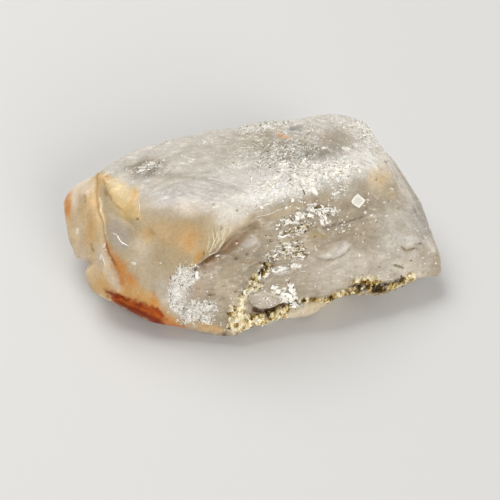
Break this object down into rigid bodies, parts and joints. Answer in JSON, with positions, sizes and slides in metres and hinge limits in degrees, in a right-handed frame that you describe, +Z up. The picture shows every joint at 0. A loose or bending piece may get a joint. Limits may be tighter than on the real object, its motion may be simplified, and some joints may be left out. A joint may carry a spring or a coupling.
{
  "type": "quartz point",
  "caption": "Broken piece of milky quartz with a ridge, a stepped overhang, a clear end facet and a golden crust along its lower edge, lying on a flat break.",
  "frame": {"origin": "middle of the stone's box, on the surface that it rests on", "axes": "+Z up, +X along the stone from its stained left end to its pointed right corner, +Y towards the back"},
  "size_m": [0.096, 0.0624, 0.0308],
  "materials": {
    "milky_quartz": "translucent milky quartz, glossy on broken facets, stained orange at the left end",
    "golden_crust": "granular crust of small golden, white and blackish crystals",
    "silvery_flakes": "thin bright mineral flakes"
  },
  "bodies": {
    "root": {"quartz_point": "milky_quartz"}
  },
  "joints": []
}
